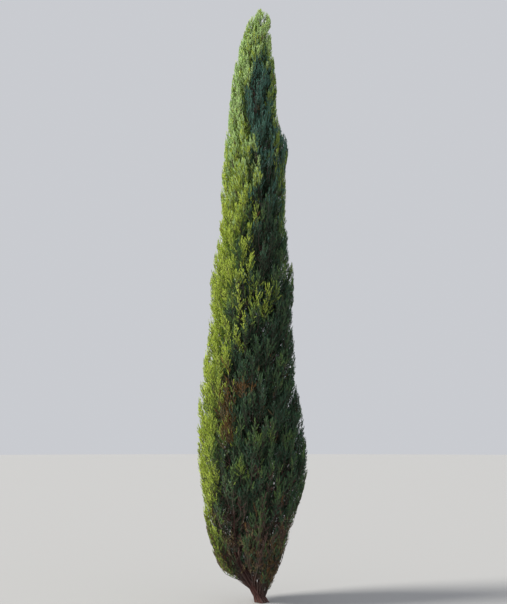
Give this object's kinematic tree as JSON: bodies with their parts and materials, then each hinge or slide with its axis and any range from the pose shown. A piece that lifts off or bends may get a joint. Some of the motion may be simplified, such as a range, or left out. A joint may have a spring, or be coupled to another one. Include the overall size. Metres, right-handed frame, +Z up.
{
  "type": "columnar juniper",
  "caption": "Slim upright juniper: a leaning trunk with steep boughs, each carrying a plume of scale-leaved sprays, in one dense green column.",
  "frame": {"origin": "middle of the trunk's flat cut at ground level", "axes": "+Z up the tree, -Y towards its front, +X to the right seen from the front"},
  "size_m": [1.0986, 1.0566, 6.4],
  "materials": {
    "bark": "fibrous reddish bark, matte",
    "twigs": "thin brown twigs, matte",
    "foliage_sunlit": "yellow-green scale leaves, matte",
    "foliage_green": "green scale leaves, matte",
    "foliage_shade": "dark green scale leaves, matte",
    "foliage_dead": "rusty dead sprays, matte"
  },
  "bodies": {
    "root": {"trunk": "bark", "bough_01": "bark", "bough_02": "bark", "bough_03": "bark", "bough_04": "bark", "bough_05": "bark", "bough_06": "bark", "bough_07": "bark", "bough_08": "bark", "bough_09": "bark", "bough_10": "bark", "bough_11": "bark", "bough_12": "bark", "bough_13": "bark", "bough_14": "bark", "bough_15": "bark", "bough_16": "bark", "bough_17": "bark", "bough_18": "bark", "bough_19": "bark", "bough_20": "bark", "bough_21": "bark", "bough_22": "bark", "foliage_01": "foliage_shade", "foliage_02": "foliage_sunlit", "foliage_03": "foliage_shade", "foliage_04": "foliage_green", "foliage_05": "foliage_sunlit", "foliage_06": "foliage_shade", "foliage_07": "foliage_sunlit", "foliage_08": "foliage_green", "foliage_09": "foliage_shade", "foliage_10": "foliage_sunlit", "foliage_11": "foliage_shade", "foliage_12": "foliage_green", "foliage_13": "foliage_sunlit", "foliage_14": "foliage_shade", "foliage_15": "foliage_sunlit", "foliage_16": "foliage_shade", "foliage_17": "foliage_green", "foliage_18": "foliage_sunlit", "foliage_19": "foliage_shade", "foliage_20": "foliage_sunlit", "foliage_21": "foliage_green", "foliage_22": "foliage_shade", "foliage_leader": "foliage_green"}
  },
  "joints": []
}
